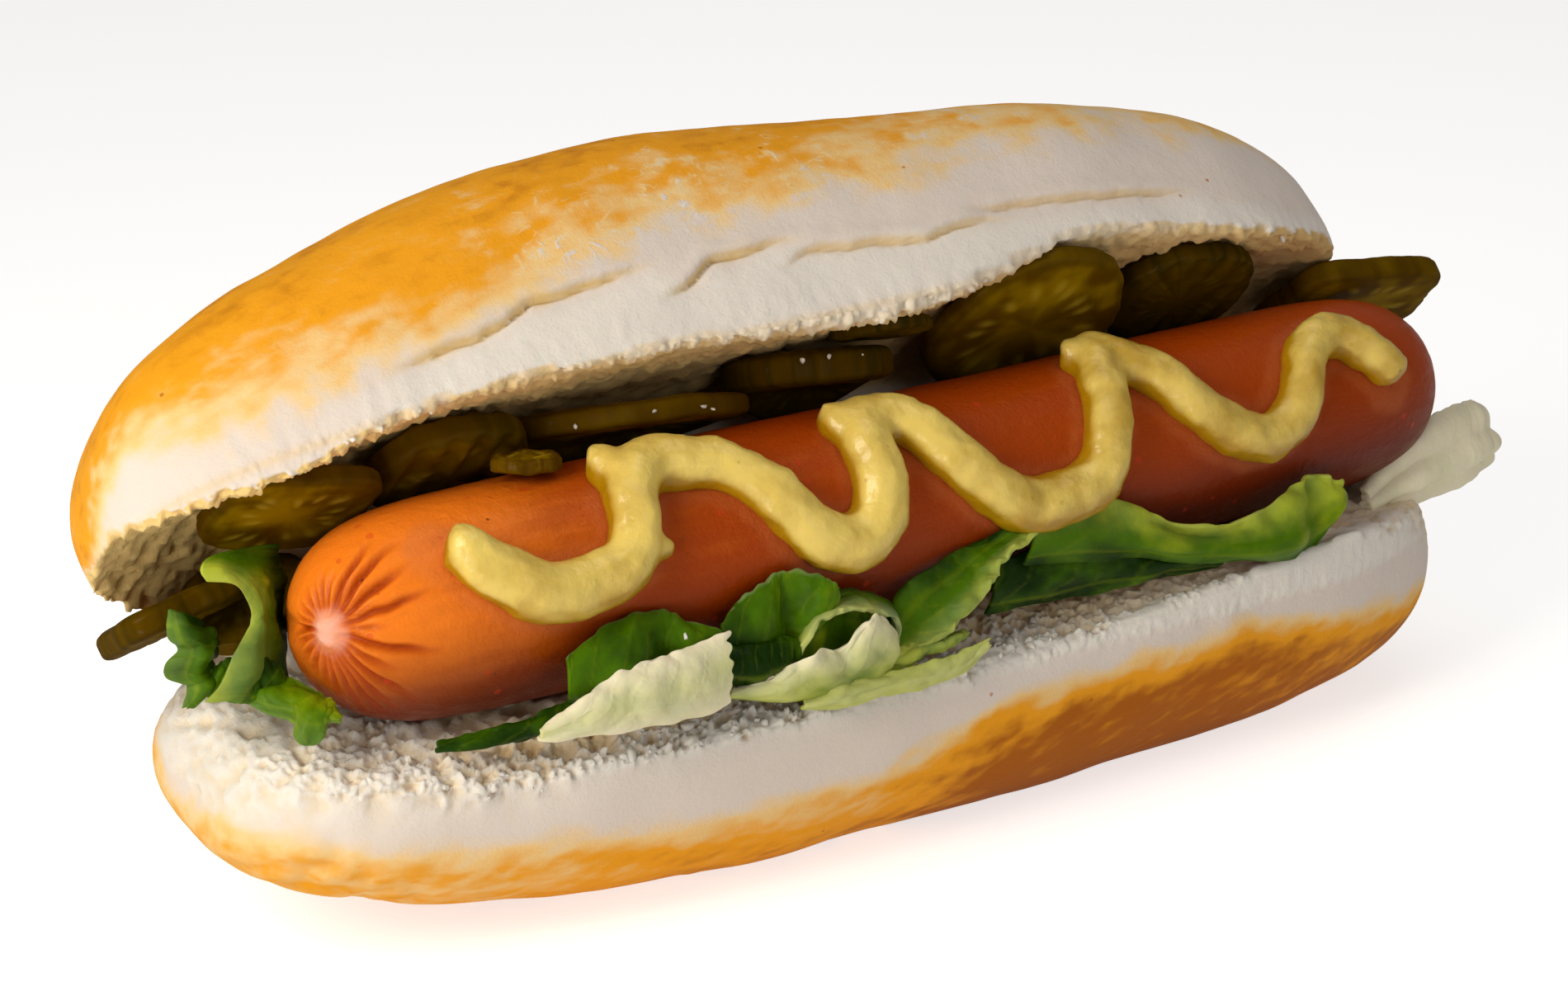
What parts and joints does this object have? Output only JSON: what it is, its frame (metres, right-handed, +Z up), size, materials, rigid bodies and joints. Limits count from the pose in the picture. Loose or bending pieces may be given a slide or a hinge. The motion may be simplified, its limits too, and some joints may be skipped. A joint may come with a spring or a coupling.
{
  "type": "hot dog",
  "caption": "Soft split roll lying on its base, hinged along the back, that holds a long sausage with piped mustard, pickle slices and lettuce.",
  "frame": {"origin": "middle of the roll's flat underside, on the surface it rests on", "axes": "+X along the roll, to the right as seen from its open front; +Y from the open front to the uncut back; +Z up"},
  "size_m": [0.1913, 0.0674, 0.0811],
  "materials": {
    "bun_crust": "soft baked crust, golden on top and pale at the sides, over white crumb",
    "sausage_skin": "smooth moist skin, orange-red to brown, with a wrinkled end",
    "mustard_sauce": "thick smooth yellow sauce with a soft sheen",
    "pickle_flesh": "wet translucent olive green",
    "lettuce_leaf": "fresh leaf, dark to light green with pale ribs"
  },
  "bodies": {
    "root": {"bun": "bun_crust", "sausage": "sausage_skin", "mustard": "mustard_sauce", "pickle_left_end": "pickle_flesh", "pickle_left_inner": "pickle_flesh", "pickle_left_upright": "pickle_flesh", "pickle_ridged": "pickle_flesh", "pickle_chip": "pickle_flesh", "pickle_flat_left": "pickle_flesh", "pickle_flat_right": "pickle_flesh", "pickle_behind": "pickle_flesh", "pickle_tall": "pickle_flesh", "pickle_dark": "pickle_flesh", "pickle_right_end": "pickle_flesh", "lettuce_left_curl": "lettuce_leaf", "lettuce_left_frill": "lettuce_leaf", "lettuce_left_low": "lettuce_leaf", "lettuce_dark": "lettuce_leaf", "lettuce_strip": "lettuce_leaf", "lettuce_rib_shard": "lettuce_leaf", "lettuce_lobe": "lettuce_leaf", "lettuce_curl": "lettuce_leaf", "lettuce_light_strip": "lettuce_leaf", "lettuce_long_curl": "lettuce_leaf", "lettuce_right": "lettuce_leaf", "lettuce_rib_right": "lettuce_leaf"}
  },
  "joints": []
}
